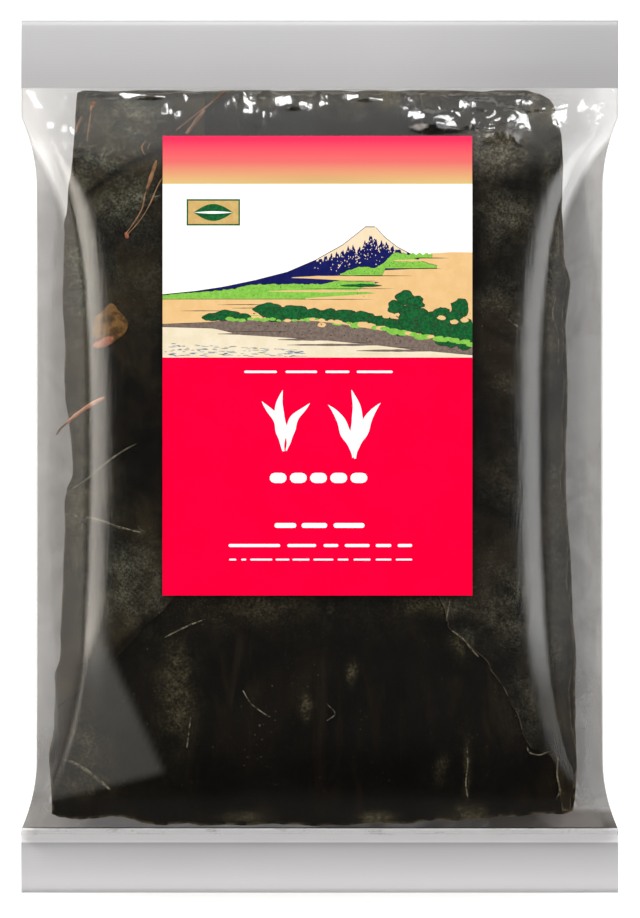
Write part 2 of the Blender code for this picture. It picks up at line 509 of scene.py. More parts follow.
# Where the film is crinkled: centre x and y, radii, in millimetres, and strength.
CRINKLES = (
    (0, 158, 125, 6, 0.3), (-28, 154, 10, 8, 0.9), (-8, 156, 10, 5, 0.8), (14, 158, 12, 3, 0.8),
    (40, 156, 5, 5, 0.7), (58, 147, 15, 9, 1.0), (84, 147, 12, 9, 1.0), (94, 154, 9, 5, 0.8),
    (120, 150, 8, 8, 0.9), (-112, 138, 8, 7, 0.6), (-64, 152, 3, 4, 0.8), (-81, 159, 14, 2, 0.6),
    (104, 150, 10, 9, 0.6), (-104, -158, 14, 3, 0.25), (0, -165, 125, 2, 0.2),
)


def crumple_share(x, y):
    in_body = smooth((TOP_LINE - y) / (1.5 * MM)) * smooth((y - BOTTOM_LINE) / (1.5 * MM))
    calm = 1 - 0.65 * tilt_relief(x, y)[1]    # the leaning facets are smoother
    return in_body * patch_share(x, y, CRINKLES) * (1 - label_mask(x, y)) * calm


# Facets of the film that lean sideways by the top seal and mirror a lamp: centre x and y, radii, in
# millimetres, and slope.
TILTS = (
    (56, 145.6, 12, 4.2, -0.19), (70, 146, 7, 3.4, -0.19), (85, 145, 11, 7, -0.2), (104, 149, 7, 4, -0.17),
    (122, 148, 6, 5, -0.1), (-110, 139, 7, 5, -0.19), (-31, 152.5, 5, 9, 0.22), (-17, 155.5, 10, 4.5, 0.2),
    (1, 155.5, 6, 4.5, 0.2), (14, 157, 11, 2.5, 0.2), (40, 156, 4, 4.5, 0.2), (64, 153, 9, 2.6, 0.2),
    (88, 153, 8, 3, 0.2), (-64, 152, 2.8, 2.8, 0.2), (-81, 158, 12, 2.5, 0.2),
)


def tilt_relief(x, y):
    """Relief of the leaning facets, and how far each point belongs to one."""
    total, most = np.zeros_like(x), np.zeros_like(x)
    for cx, cy, rx, ry, slope in TILTS:
        off_x, off_y = x / MM - cx, y / MM - cy
        share = np.exp(-(off_x / rx) ** 4 - (off_y / ry) ** 4)
        total = total + (slope * off_x + abs(slope) * rx * 0.4) * share
        most = np.maximum(most, share)
    return total, most


def front_wrinkles(x, y):
    """Relief of the front film: swollen and pleated by the top seal and in the corners, calm in the middle."""
    from_top = TOP_LINE - y
    from_bottom = y - BOTTOM_LINE
    body = smooth(from_top / (3 * MM)) * smooth(from_bottom / (3 * MM))
    near_top = body * (1 - smooth((from_top - 6 * MM) / (22 * MM)))
    near_bottom = body * (1 - smooth((from_bottom - 3 * MM) / (12 * MM)))
    swell = 0.3 + 0.9 * noise_field(x, y * 1.4, 19 * MM, 3.1, 2)
    calm = 0.1 * noise_field(x, y, 30 * MM, 1.7, 2) * body
    pleats = noise_field(x, y * 0.22, 9 * MM, 6.3, 2) * 0.35 * body * (1 - smooth(from_top / (24 * MM)))
    tight = noise_field(x * 0.8 + y * 0.6, (y - x * 0.3) * 0.8, 7.5 * MM, 8.8, 2) * 0.6
    tight = tight * patch_share(x, y, CRINKLES)
    lean, leaning = tilt_relief(x, y)
    relief = swell * (0.8 * near_top + 0.4 * near_bottom) + pleats + tight * body
    relief = relief * (1 - 0.75 * leaning) + calm
    relief = relief * (1 - label_mask(x, y)) + lean * body * (1 - label_mask(x, y, 2.5 * MM))
    return MM * (SAG_SOFTNESS * np.logaddexp(0, (relief + DEEPEST_SAG) / SAG_SOFTNESS) - SAG_SHIFT)


def back_wrinkles(x, y):
    body = smooth((TOP_LINE - y) / (4 * MM)) * smooth((y - BOTTOM_LINE) / (4 * MM))
    ends = 1 - smooth((TOP_LINE - y) / (30 * MM)) * smooth((y - BOTTOM_LINE) / (30 * MM))
    lift = 0.5 + 0.5 * noise_field(x, y, 18 * MM, 9.4, 2)
    return MM * body * lift * (0.25 + 1.2 * ends)


def triangle_share(x, y, corners, soft):
    """1 inside a triangle given in millimetres, 0 outside, over a soft edge in metres."""
    share = np.ones_like(x)
    for index in range(3):
        ax, ay = (value * MM for value in corners[index])
        bx, by = (value * MM for value in corners[(index + 1) % 3])
        length = math.hypot(bx - ax, by - ay)
        depth = ((bx - ax) * (y - ay) - (by - ay) * (x - ax)) / length
        share = share * smooth(0.5 - depth / soft)
    return share


def fold_line(x, y):
    """1 along the sharp fold that runs down into the lower left corner, 0 away from it."""
    near = np.exp(-((np.abs(x) - crease(x, y)) / (0.6 * MM)) ** 2)
    return np.where(x < 0, near * smooth((-58 * MM - y) / (20 * MM)), 0)


def front_veil_and_painted_light(x, y):
    """How much of the front film is clouded, and how pale that haze is. On the side facets it is a grey that
    is partly folded film and partly painted shade; along the lower left fold a thin dark line of painted
    shade; a pale triangle and a pale patch paint reflections off the film.
    """
    outside = np.abs(x) - crease(x, y)
    facet = smooth(outside / (6 * MM) + 0.5)
    # Painted shade: the side facets get a darker grey haze.
    side = np.where(x < 0, 0.05, 0.03)
    # Painted reflection: the pale triangle of the folded corner, partly the double film.
    fold = 0.06 * triangle_share(x, y, FOLD_TRIANGLE, 5 * MM) * (1 - facet)
    # Painted highlight: a pale patch where the left crease highlight fades out.
    painted_highlight_tail = 0.10 * patch_share(x, y, ((-98, -76, 5, 20, 1.0),))
    # Painted shade: a thin dark line along the lower left fold.
    line = 0.1 * fold_line(x, y)
    return 0.0005 + side * facet + fold + painted_highlight_tail + line, clamp(1 - 0.7 * facet - 3 * line)


def film_shine(x, y):
    """How much the film mirrors: less along the sharp fold and wherever it lies slack and scuffed."""
    outside = np.abs(x) - crease(x, y)
    left = x < 0
    wide_fold = np.exp(-(outside / (3 * MM)) ** 2)
    slack = smooth(outside / (5 * MM)) * smooth((-112 * MM - y) / (20 * MM))
    right_fade = smooth((outside + 14 * MM) / (6 * MM)) * smooth((-66 * MM - y) / (45 * MM))
    ears = smooth((np.abs(x) - 106 * MM) / (6 * MM)) * smooth((y - 122 * MM) / (14 * MM))
    dull = np.maximum(0.9 * np.where(left, wide_fold * smooth((-78 * MM - y) / (14 * MM)), 0), 0.7 * slack)
    dull = np.maximum(dull, np.where(left, 0, 0.75 * right_fade))
    dull = np.maximum(dull, np.maximum(0.6 * ears, 0.9 * smooth((-140 * MM - y) / (8 * MM))))
    return np.where(left, 0.86 + 0.26 * smooth((y + 30 * MM) / (130 * MM)), 1) * (1 - dull)


def back_veil_painted_shade(x, y):
    """The back film is clouded only past the kelp, where it is slack, folded and in the stack's shade. Its
    haze is dark grey, painted shade for the stack's shadow on the floor seen through it, deepest in the
    bottom corners.
    """
    outside = np.abs(x) - crease(x, y)
    past_kelp = np.where(x < 0, block_left(y) - x, x - block_right(y))
    beside = smooth((past_kelp + 3 * MM) / (4 * MM)) * smooth((90 * MM - y) / (30 * MM))
    facet = np.maximum(smooth((outside - 2 * MM) / (6 * MM)), beside)
    lower = smooth((-20 * MM - y) / (130 * MM))
    side = facet * (np.where(x < 0, 0.745, 0.77) + np.where(x < 0, 0.06, 0.02) * lower)
    # Painted shade: the bottom corners of the back film are clouded darkest.
    corner = smooth((-146 * MM - y) / (10 * MM)) * np.where(x < 0, 0.8, 0.93)
    least = 0.23 + 0.15 * smooth((y - 132 * MM) / (12 * MM))
    return np.maximum(np.maximum(side, corner), least), np.zeros_like(x)


def build_film(looks):
    x, y = film_grid()
    front = taut_front(x, y) + front_wrinkles(x, y)
    back = back_height(x, y) + back_wrinkles(x, y)
    rows, columns = x.shape[0] - 1, x.shape[1] - 1
    rim = np.zeros_like(x, bool)
    rim[[0, -1], :] = True
    rim[:, [0, -1]] = True
    flutter = MM * 0.8 * noise_field(x, y, 90 * MM, 4.4, 1)
    in_seal = smooth((y - TOP_LINE) / (12 * MM)) + smooth((BOTTOM_LINE - y) / (12 * MM))
    flutter = flutter * in_seal
    front = np.where(rim, seam_height(y), front) + flutter
    back = np.where(rim, seam_height(y), back) + flutter
    points = np.stack([x, y, front], axis=-1).reshape(-1, 3)
    below = np.stack([x, y, back], axis=-1).reshape(-1, 3)
    inner = ~rim.ravel()
    index_below = np.arange(x.size)
    index_below[inner] = x.size + np.arange(inner.sum())
    top_faces = grid_faces(columns, rows)
    back_faces = index_below[top_faces][:, ::-1]
    in_body = np.ones(rows, bool)
    in_body[:FILM_ROWS[0] + STRIP_ROWS] = False
    in_body[-FILM_ROWS[2]:] = False
    kinds = np.tile(np.repeat(np.where(in_body, 0, 1), columns), 2)
    piece = add_mesh("film_bag", np.concatenate([points, below[inner]]),
                     np.concatenate([top_faces, back_faces]), looks, kinds)
    for name, here, below in zip(("veil", "milk"), front_veil_and_painted_light(x, y), back_veil_painted_shade(x, y)):
        add_attribute(piece, name, np.concatenate([here.ravel(), below.ravel()[inner]]))
    for name, values in (("crumple", crumple_share(x, y)), ("shine", film_shine(x, y))):
        add_attribute(piece, name, np.concatenate([values.ravel(), values.ravel()[inner]]))
    return place(piece, "film", "bag")


# ---------------------------------------------------------------- the kelp

SHEET_THICKNESS = 1.1 * MM
FLAP_THICKNESS = 0.9 * MM
FLAP_LIFT = 1.25 * MM
INNER_SHEETS = 11
LOWEST_LEVEL, HIGHEST_LEVEL = 0.06, 0.84
TOP_RELIEF_ROOM = 3.0 * MM

# Creases pressed into the top sheets: from, to, depth and half width, all in millimetres.
PRESSED_CREASES = (
    ((-104, 78), (-62, 118), 1.1, 5),
    ((-100, 96), (-70, 132), 0.8, 4),
    ((-108, -14), (-76, 8), 0.9, 5),
    ((-112, -40), (-60, -33), 0.9, 6),
    ((-92, -92), (-40, -50), 1.0, 6),
    ((-60, -110), (-46, -150), 0.8, 5),
    ((68, 112), (98, 92), 1.2, 7),
    ((72, 40), (100, 60), 0.7, 5),
    ((66, -40), (100, -22), 0.8, 5),
    ((10, -78), (22, -118), 0.7, 6),
    ((-24, -70), (-10, -130), 0.7, 7),
    ((78, 150), (88, 118), 0.9, 5),
)


def polyline_x(y, line):
    """x along a line of (x, y) points in millimetres that runs from top to bottom."""
    ys = [point[1] * MM for point in line][::-1]
    xs = [point[0] * MM for point in line][::-1]
    return np.interp(y, ys, xs)


# The stack's side edges as seen from the front, top to bottom, in millimetres.
STACK_LEFT = ((-105.4, 160), (-106.2, 145), (-107.6, 130), (-109.3, 115), (-110.6, 98), (-111.8, 72),
              (-110.9, 46), (-110.8, 25), (-108.8, 16), (-107.6, 3), (-107.3, -8), (-109.8, -14),
              (-110.6, -26), (-111.8, -60), (-113, -89), (-115.3, -95), (-115, -107), (-115.8, -122),
              (-117.4, -129), (-117, -145), (-116.4, -162))
STACK_RIGHT = ((91, 160.4), (97, 157.6), (101.5, 155), (103.7, 148), (105.3, 141), (105.7, 128),
               (105.2, 107), (105.8, 88), (108.9, 76.5), (106.6, 60), (107.8, 33), (107, 0), (107.2, -20),
               (109, -50), (111, -84), (111.4, -136), (110, -162))


def block_left(y):
    return polyline_x(y, STACK_LEFT)


def block_right(y):
    return polyline_x(y, STACK_RIGHT)


def sheet_outline(s, t, seed, left, right, bottom, top, ragged, ragged_ends):
    """Points of one sheet from its shares s across and t along, with uneven edges."""
    flat_y = bottom + (top - bottom) * t
    x_left = left(flat_y) + wander(flat_y, 20 * MM, seed) * ragged
    x_right = right(flat_y) + wander(flat_y, 20 * MM, seed + 7.7) * ragged
    x = x_left + (x_right - x_left) * s
    corner = smooth(1 - np.minimum(s, 1 - s) / 0.015) * MM
    y_bottom = bottom + wander(x, 14 * MM, seed + 3.3, 5) * ragged_ends + corner
    y_top = top + np.minimum(wander(x, 20 * MM, seed + 5.1) * ragged_ends, 0) - corner
    return x, y_bottom + (y_top - y_bottom) * t


def level_height(x, y, level):
    """Height of a level of the stack, from 0 at the back film to 1 at the front film."""
    low = back_height(x, y) + 2 * FILM_CLEARANCE
    high = np.maximum(taut_front(x, y) - FILM_CLEARANCE - TOP_RELIEF_ROOM * rise(y, FRONT_RUN), low)
    return low + (high - low) * level


def crease_relief(x, y):
    total = np.zeros_like(x)
    for (ax, ay), (bx, by), depth, width in PRESSED_CREASES:
        start, run = np.array((ax, ay)) * MM, np.array((bx - ax, by - ay)) * MM
        length = np.hypot(*run)
        along = ((x - start[0]) * run[0] + (y - start[1]) * run[1]) / length ** 2
        off = ((x - start[0]) * run[1] - (y - start[1]) * run[0]) / length
        off = off + 1.5 * MM * np.sin(along * 7 + ax)
        ends = smooth(along / 0.2 + 0.5) * smooth((1 - along) / 0.2 + 0.5)
        side = off / (width * MM)
        total = total - depth * MM * ends * np.exp(-side ** 2) * (1 + 0.5 * np.tanh(side * 2))
    return total


def top_height(x, y):
    """Upper surface of the stack's last whole sheet, below the flaps that lie on it."""
    room = taut_front(x, y) - FILM_CLEARANCE
    swell = noise_field(x, y, 48 * MM, 2.2, 3) * 0.9 * MM
    puckers = noise_field(x * 0.9 + y * 0.5, y * 0.35 - x * 0.2, 9 * MM, 7.4, 3) * 0.35 * MM
    relief = np.minimum(swell + puckers + crease_relief(x, y) - 0.9 * MM, 0)
    share = rise(y, FRONT_RUN)
    return room - (1.4 * MM + 0.3 * MM) * share + relief * share


def sheet_mesh(name, x, y, z, look, thickness=SHEET_THICKNESS, rim_width=0.5 * MM):
    rows, columns = x.shape[0] - 1, x.shape[1] - 1
    points = np.stack([x, y, z], axis=-1).reshape(-1, 3)
    piece = add_mesh(name, points, grid_faces(columns, rows), [look])
    across = np.minimum(x - x[:, :1], x[:, -1:] - x)
    along = np.minimum(y - y[:1, :], y[-1:, :] - y)
    rim = 1 - smooth(np.minimum(across, along) / rim_width) if rim_width else np.zeros_like(x)
    add_attribute(piece, "rim", rim)
    solid = piece.modifiers.new("thickness", "SOLIDIFY")
    solid.thickness = thickness
    solid.offset = -1
    apply_modifiers(piece)
    piece.data.shade_smooth()
    piece.data.set_sharp_from_angle(angle=math.radians(55))
    add_tone(piece)
    return place(piece, "kelp", "bag")


# Where the kelp is dusty, and where it is darker, from its own darker patches and from painted shadow
# such as the band by the top right crease: centre x and y, radii, in millimetres, and strength.
BLOOMS = (
    (76, 130, 13, 11, 0.85), (99, 127, 5, 9, 0.5), (80, 104, 14, 13, 0.38), (-92, 130, 18, 6, 0.8),
    (-101, 147, 6, 12, 0.35), (-82, 146, 14, 11, 0.6), (-88, 112, 18, 16, 0.42), (-77, 113, 9, 2, 0.7),
    (-82, -56, 15, 17, 0.42), (-62, -102, 7, 18, 0.45), (-102, -126, 8, 14, 0.32), (-102, -142, 9, 6, 0.45),
    (51, -65, 18, 4, 0.35), (62, -80, 5, 6, 0.4), (85, -62, 16, 18, 0.3), (92, -102, 10, 20, 0.22),
    (76, 68, 8, 6, 0.28), (80, 31, 6, 5, 0.3), (84, -10, 12, 20, 0.16), (-30, -64, 24, 8, 0.3),
    (-80, 78, 20, 22, 0.16), (-104, 90, 7, 50, 0.6), (-104, -10, 7, 60, 0.35), (90, 60, 16, 40, 0.12),
    (0, -66, 60, 12, 0.05), (-92, -20, 12, 22, 0.12), (102, 90, 5, 40, 0.3), (103, -20, 5, 40, 0.2),
    (25, -157, 6, 2.4, 1.0), (-32, -157, 10, 2, 0.45), (64, -156, 8, 4, 0.5), (30, 156, 8, 4, 0.7),
    (-78, -32.5, 2.2, 1.2, 0.6), (14, -93, 1.7, 4.2, 0.8), (-6, -109, 1.9, 4.6, 0.8),
    (4.5, -65, 1.2, 2.8, 0.7), (53, -136, 2.6, 5.5, 0.4), (64, -137, 1.2, 13, 0.45),
    (100, 60, 5, 30, 0.25), (103, -60, 5, 60, 0.2), (-104, 30, 6, 30, 0.25),
    (0, 156, 70, 6, 0.3), (100, 152, 14, 8, 0.5),
)
# Painted shadow: some of these patches paint shade, the rest are darker kelp.
DARK_PATCHES_AND_PAINTED_SHADOWS = (
    (80, 118.6, 15, 4, 0.75), (94.4, 123, 3.5, 14, 0.75), (68, 85, 2.5, 30, 0.6), (22, -137, 44, 17, 0.75),
    (-45, -139, 15, 13, 0.6), (-71, 133, 4, 4, 0.5), (-76, 72, 18, 12, 0.4), (-76, 2, 20, 28, 0.85),
    (-86, 76, 7, 7, 0.5), (90, -130, 12, 14, 0.5), (0, -84, 36, 12, 0.3), (70, 10, 10, 26, 0.3),
)
# Painted shadow: dark strokes of shade under sheet edges and along creases. The points of each in
# millimetres, then its half width in millimetres and its strength.
PAINTED_SHADOW_LINES = (
    ((-98, 98), (-86, 103), (-74, 107), (-66, 108), 1.2, 0.4),
    ((-100, 88), (-90, 92), (-80, 99), 1.0, 0.35),
    ((-96, 30), (-86, 26), (-78, 18), (-70, 14), 2.5, 0.6),
    ((-98, -30), (-84, -36), (-70, -40), 1.8, 0.5),
    ((-92, -58), (-80, -52), (-64, -50), 1.4, 0.4),
    ((74, 88), (84, 96), (96, 100), 1.5, 0.5),
    ((72, 56), (84, 50), (98, 52), 1.6, 0.5),
    ((70, -20), (82, -26), (98, -24), 1.6, 0.4),
    ((-40, -70), (-20, -84), (0, -86), 2.0, 0.4),
    ((24, -70), (34, -86), (36, -104), 2.0, 0.4),
    ((-101, 114), (-90, 122), (-82, 127.5), (-69, 133), 1.7, 0.85),
    ((-72, -69), (-91, -87), (-103, -100), 2.2, 0.8),
    ((84, 120), (74, 118), (66, 116), 2.2, 0.5),
    ((-64, 82), (-78, 88), (-90, 84), 2.4, 0.4),
)


def line_share(x, y, lines):
    """The strongest of some soft strokes, each with its points, half width and strength at the end."""
    total = np.zeros_like(x)
    for *points, width, strength in lines:
        for (ax, ay), (bx, by) in zip(points, points[1:]):
            run_x, run_y = bx - ax, by - ay
            along = clamp(((x / MM - ax) * run_x + (y / MM - ay) * run_y) / (run_x ** 2 + run_y ** 2))
            away = np.hypot(x / MM - ax - run_x * along, y / MM - ay - run_y * along)
            total = np.maximum(total, strength * np.exp(-(away / width) ** 2))
    return total


def add_tone(piece):
    """Dust, darker patches and painted shadow on a finished sheet, from where each of its points lies."""
    points = np.empty(len(piece.data.vertices) * 3)
    piece.data.vertices.foreach_get("co", points)
    x, y = points[0::3], points[1::3]
    add_attribute(piece, "bloom", patch_share(x, y, BLOOMS))
    add_attribute(piece, "shade", np.maximum(patch_share(x, y, DARK_PATCHES_AND_PAINTED_SHADOWS), line_share(x, y, PAINTED_SHADOW_LINES)))


def stack_bottom(s):
    """Where the sheets end towards the bottom seal, for a share across from left to right."""
    heights = (-157.2, -157.4, -160, -160.6, -158.6, -157, -154.8)
    return np.interp(s, (0, 0.16, 0.2, 0.5, 0.72, 0.86, 1), heights) * MM


def shares(columns, rows):
    s, t = np.meshgrid(np.linspace(0, 1, columns + 1), np.linspace(0, 1, rows + 1))
    return s, t


def build_inner_sheets(looks):
    rng = random.Random(11)
    for index in range(INNER_SHEETS):
        level = LOWEST_LEVEL + (HIGHEST_LEVEL - LOWEST_LEVEL) * index / (INNER_SHEETS - 1)
        inset = (rng.uniform(1.5, 6) + 5 * abs(level - 0.5) ** 2 * 4) * MM
        drop = rng.uniform(0, 6) * MM
        s, t = shares(70, 96)
        seed = 20 + 3.7 * index
        wedge = 7 * MM * abs(level - 0.45) * 2
        bottom, top = stack_bottom(s) + wedge + drop * 0.6, 158.4 * MM - wedge - drop
        x, y = sheet_outline(s, t, seed, lambda v: block_left(v) + inset, lambda v: block_right(v) - inset,
                             bottom, top, 2.0 * MM, 2.5 * MM)
        wave = noise_field(x, y, 40 * MM, seed, 2) * 0.45 * MM
        edge_curl = smooth((np.abs(x) - 98 * MM) / (12 * MM)) * noise_field(x * 0.2, y, 20 * MM, seed + 1, 2)
        z = level_height(x, y, level) + (wave + edge_curl * 0.9 * MM) * rise(y, FRONT_RUN)
        sheet_mesh(f"kelp_sheet_{index + 1:02d}", x, y, z, looks[index % len(looks)])


def build_top_sheet(look):
    s, t = shares(170, 236)
    x, y = sheet_outline(s, t, 91.0, block_left, block_right, stack_bottom(s), 159.4 * MM, 0.6 * MM, 1.0 * MM)
    return sheet_mesh("kelp_sheet_top", x, y, top_height(x, y), look)


RIGHT_FLAP_EDGE = ((44, 160), (46, 40), (50, -55), (56, -74), (63, -80), (72, -88.6), (82, -105),
                   (91, -126), (99, -129), (103, -135), (105, -150), (106, -160))
LEFT_FLAP_BOTTOM = ((-120, -112), (-103, -100), (-91, -87), (-72, -69), (-62, -58), (-50, -54))


def flap_height(x, y, edge_distance, seed):
    """A sheet lying on the top sheet: close to it at its free edge, and with small puckers of its own."""
    own = noise_field(x * 0.8 - y * 0.3, y * 0.5, 14 * MM, seed, 3) * 0.3 * MM
    settle = smooth(edge_distance / (6 * MM))
    height = top_height(x, y) + FLAP_LIFT + (0.15 * MM + own) * settle
    return np.minimum(height, taut_front(x, y) - FILM_CLEARANCE * 0.6)


def build_right_flap(look):
    s, t = shares(96, 236)
    y = -154 * MM + (158 + 154) * MM * t
    left = polyline_x(y, RIGHT_FLAP_EDGE) + wander(y, 9 * MM, 4.2) * 1.2 * MM
    right = block_right(y) - 1.2 * MM + wander(y, 30 * MM, 14.2) * 2.2 * MM
    right = np.maximum(right, left + 1.5 * MM)
    x = left + (right - left) * s
    z = flap_height(x, y, x - left, 15.0)
    return sheet_mesh("kelp_flap_right", x, y, z, look, FLAP_THICKNESS, rim_width=0.6 * MM)


def build_left_flap(look):
    s, t = shares(60, 200)
    flat_x = -116 * MM + 66 * MM * s
    bottom = np.interp(flat_x, [p[0] * MM for p in LEFT_FLAP_BOTTOM], [p[1] * MM for p in LEFT_FLAP_BOTTOM])
    bottom = bottom + wander(flat_x, 9 * MM, 6.2) * 1.4 * MM
    y = bottom + (156 * MM - bottom) * t
    left = block_left(y) + 1.5 * MM + wander(y, 26 * MM, 24.6) * 2.4 * MM
    x = left + (-50 * MM - left) * s
    z = flap_height(x, y, y - bottom, 27.0)
    return sheet_mesh("kelp_flap_left", x, y, z, look, FLAP_THICKNESS, rim_width=0.0)


# Tan stems and torn edges that lie on the kelp: name, look, half width, then points in millimetres.
RIBS = (
    ("stem_hairpin_a", "tan", 0.8, ((-70.8, 128.5), (-72.2, 124), (-74, 118.6), (-75, 116))),
    ("stem_hairpin_b", "edge", 0.26,
     ((-73.6, 120.5), (-74.4, 117.5), (-76, 113), (-77, 108), (-80, 102.5), (-84.2, 96.6))),
    ("stem_hairpin_c", "edge", 0.24, ((-67, 123), (-70.5, 117), (-73.8, 109.5), (-78, 102.5), (-83.6, 96.2))),
    ("stem_knot", "rose", 0.7, ((-84.4, 97.2), (-83.8, 96), (-83.4, 94.6))),
    ("stem_top_a", "dim", 0.3, ((-41, 159), (-48, 153), (-55, 147.5), (-62.5, 141.6))),
    ("stem_top_b", "dim", 0.9, ((-50, 150.5), (-53.5, 146), (-58, 140))),
    ("stem_corner", "dim", 0.22, ((-99.2, 152.5), (-99.8, 147), (-100.6, 141), (-101.2, 136.5))),
    ("stem_corner_top", "tan", 0.6, ((-97.5, 153.6), (-98.6, 153), (-99.6, 150.6))),
    ("stem_corner_red", "dim", 0.6, ((-103.5, 147.5), (-105.2, 143.5), (-106, 140.5))),
    ("stem_loop", "dim", 0.3, ((-75.4, 137), (-77.2, 134.6), (-76.7, 132), (-75.4, 130.8))),
    ("stem_loop_b", "dim", 0.2, ((-73.6, 136), (-74.6, 133.8), (-74, 131.4))),
    ("stem_side", "pink", 0.85, ((-110, 14.5), (-105, 18.6), (-99, 22.6), (-93.5, 25.6))),
    ("stem_side_tip", "dim", 0.35, ((-114.5, 9.5), (-112.6, 12.2), (-110, 14.5))),
    ("torn_edge_a", "pale", 0.3, ((-108, -14.5), (-100, -9), (-93, -3), (-86, 2), (-79.5, 5.6))),
    ("torn_edge_b", "pale", 0.45, ((-110, -25), (-104, -26), (-97.4, -27.2), (-87, -30.7), (-77.7, -32.9))),
    ("crack_a", "pale", 0.2, ((-67.2, -78.5), (-62, -75.8), (-57, -73.4), (-50, -70.6))),
    ("crack_b", "pale", 0.16, ((-33.3, -101.6), (-30, -107), (-25, -111), (-21.6, -113))),
    ("crack_c", "pale", 0.2, ((-57.7, -126.4), (-56.8, -120), (-56, -113.2))),
    ("crack_d", "pale", 0.22, ((57.4, -75.6), (62, -79), (66.5, -84.5), (69, -87))),
    ("crack_e", "pale", 0.18, ((54.8, -71.4), (55.6, -67), (56.5, -62.6))),
    ("crack_f", "pale", 0.16, ((2.8, -107), (6.6, -111.5), (3.2, -114.6))),
    ("crack_g", "pale", 0.16, ((64, -126), (64.2, -134), (63.4, -142), (64.5, -149))),
    ("crack_h", "pale", 0.2, ((100, 81), (102.5, 72), (101, 62), (103.2, 53), (103.6, 40))),
    ("ridge_corner", "pale", 0.6,
     ((-110.6, -131.6), (-105.5, -133.6), (-100.7, -136.7), (-95.6, -140.8), (-91, -144.6))),
    ("crack_j", "pale", 0.2, ((99.5, -128), (95, -129.6), (91, -128.4), (90, -126))),
    ("crack_k", "pale", 0.18, ((103.4, -131), (103, -138), (104.2, -145), (102.6, -149))),
    ("crack_l", "pale", 0.16, ((-80, 109), (-74, 112), (-68, 113.6))),
    ("crack_m", "pale", 0.18, ((80.4, 60.6), (84.4, 57.4), (88.4, 55))),
    ("crack_i", "pale", 0.16, ((86, 62), (90, 59), (92.6, 56.5))),
)

# Two pale scraps on the left flap, each by its corners in millimetres.
AMBER_SCRAP = ((-90.5, 66.5), (-87, 63), (-83.2, 58.4), (-84, 54.5), (-86.5, 51.5), (-91, 49.5), (-96, 49.5),
               (-98.5, 54), (-97.5, 60), (-94.5, 62.5))
ROSE_SCRAP = ((-98.5, 47.4), (-93.5, 47.4), (-89, 50), (-88, 53), (-92, 53.2), (-96.5, 50.6))


def smooth_route(points, steps=9):
    """A Catmull-Rom curve through the points, as (x, y) in metres."""
    line = [Vector(p) * MM for p in points]
    line = [line[0] * 2 - line[1], *line, line[-1] * 2 - line[-2]]
    route = []
    for a, b, c, d in zip(line, line[1:], line[2:], line[3:]):
        for step in range(steps):
            route.append(catmull_rom(a, b, c, d, step / steps))
    route.append(line[-2])
    return route


def flap_top(x, y):
    """Height of whatever kelp lies uppermost at a point."""
    return top_height(x, y) + 1.4 * MM


def build_ribs(looks):
    """Each rib is a low rounded strip that follows the kelp and tapers to its ends."""
    for number, (name, look, half, points) in enumerate(RIBS):
        route = smooth_route(points)
        count = len(route)
        verts, sides = [], 7
        for index, here in enumerate(route):
            before, after = route[max(index - 1, 0)], route[min(index + 1, count - 1)]
            run = (after - before).normalized()
            share = index / (count - 1)
            taper = 0.25 + 0.75 * math.sin(math.pi * min(max(share, 0.06), 0.94)) ** 0.5
            swing = noise.noise(Vector((here.x * 300, here.y * 300, number * 2.7)))
            width = half * MM * taper * (1 + 0.5 * swing)
            lift = float(flap_top(np.array([here.x]), np.array([here.y]))[0])
            for side in range(sides):
                angle = math.pi * side / (sides - 1)
                offset = -math.cos(angle) * width
                height = math.sin(angle) * min(width * 0.8, 0.5 * MM)
                verts.append((here.x - run.y * offset, here.y + run.x * offset, lift + height - 0.15 * MM))
        piece = add_mesh(f"kelp_{name}", verts, grid_faces(sides - 1, count - 1), [looks[look]])
        solid = piece.modifiers.new("thickness", "SOLIDIFY")
        solid.thickness = 0.15 * MM
        apply_modifiers(piece)
        place(piece, "kelp", "bag")


def blob_outline(cx, cy, radius_x, radius_y, seed, points, uneven):
    """A closed uneven oval."""
    outline = []
    for index in range(points):
        angle = 2 * math.pi * index / points
        place_round = Vector((math.cos(angle) * 1.3, math.sin(angle) * 1.3, seed))
        swing = 1 + uneven * noise.fractal(place_round, 1, 2, 3)
        outline.append((cx + radius_x * swing * math.cos(angle), cy + radius_y * swing * math.sin(angle)))
    return outline


def build_scrap(name, look, outline, seed, dome=0.5):
    """A small torn scrap lying on the kelp: rings of one outline, domed in the middle."""
    cx = sum(px for px, _ in outline) / len(outline)
    cy = sum(py for _, py in outline) / len(outline)
    rings, verts = 8, []
    for ring in range(rings, -1, -1):
        share = ring / rings
        for px, py in outline if ring else [(cx, cy)]:
            x, y = (cx + (px - cx) * share) * MM, (cy + (py - cy) * share) * MM
            base = float(flap_top(np.array([x]), np.array([y]))[0])
            ripple = 0.2 * noise.noise(Vector((x * 300, y * 300, seed)))
            verts.append((x, y, base + (dome * (1 - share ** 2) + ripple) * MM))
    count = len(outline)
    faces = []
    for ring in range(rings - 1):
        for index in range(count):
            a, b = ring * count + index, ring * count + (index + 1) % count
            faces.append((a, b, b + count, a + count))
    last = (rings - 1) * count
    faces += [(last + index, last + (index + 1) % count, rings * count) for index in range(count)]
    piece = add_mesh(name, verts, faces, [look])
    solid = piece.modifiers.new("thickness", "SOLIDIFY")
    solid.thickness = 0.35 * MM
    apply_modifiers(piece)
    return place(piece, "kelp", "bag")


